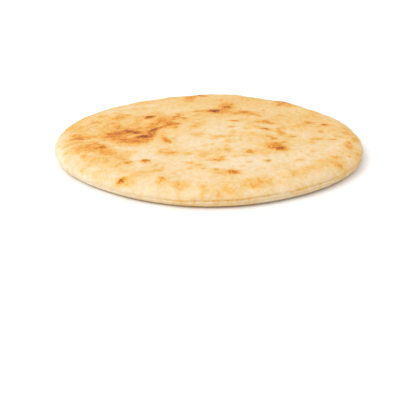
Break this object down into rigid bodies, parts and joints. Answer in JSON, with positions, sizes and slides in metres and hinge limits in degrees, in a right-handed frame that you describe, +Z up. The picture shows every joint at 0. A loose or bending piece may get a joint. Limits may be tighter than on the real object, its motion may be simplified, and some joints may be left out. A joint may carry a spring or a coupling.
{
  "type": "pita bread",
  "caption": "Round flatbread with a flat underside, a soft rolled rim with a fine seam and a gently swollen, scorched top.",
  "frame": {"origin": "on the surface that the bread rests on, under the middle of its outline", "axes": "+Z up, through the thickness of the bread; +Y away from whoever looks at it from the front"},
  "size_m": [0.1858, 0.1866, 0.0131],
  "materials": {
    "baked_crust": "matte"
  },
  "bodies": {
    "root": {"pita_bread": "baked_crust"}
  },
  "joints": []
}
